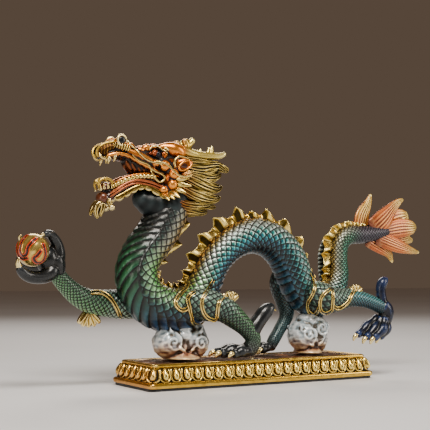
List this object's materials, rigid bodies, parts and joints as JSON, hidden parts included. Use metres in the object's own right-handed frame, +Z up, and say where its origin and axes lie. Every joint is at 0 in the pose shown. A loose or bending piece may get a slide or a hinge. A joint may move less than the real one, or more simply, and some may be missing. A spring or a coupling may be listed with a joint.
{
  "type": "dragon sculpture",
  "caption": "Table-top oriental dragon with arched scaled body, crest, mane, antlers and flame tail, holding a pearl on scrolled clouds over a gilded petal-moulded plinth.",
  "frame": {"origin": "centre of the pad's underside, on the surface that the sculpture stands on", "axes": "+X along the plinth from the pearl towards the tail, +Z up, and the dragon's left flank faces -Y"},
  "size_m": [0.4759, 0.084, 0.2423],
  "materials": {
    "painted_casting": "cold-cast resin painted green, teal and navy under gloss lacquer, with silver-rubbed scales, a copper face and gilt trims",
    "gilt_pearl": "resin ball in bright champagne gilt with red and black flame lines",
    "gilt_plinth": "resin plinth gilt over dark brown, copper towards the deck",
    "felt": "black felt pad"
  },
  "bodies": {
    "root": {"dragon": "painted_casting", "pearl": "gilt_pearl", "plinth": "gilt_plinth", "base_pad": "felt"}
  },
  "joints": []
}
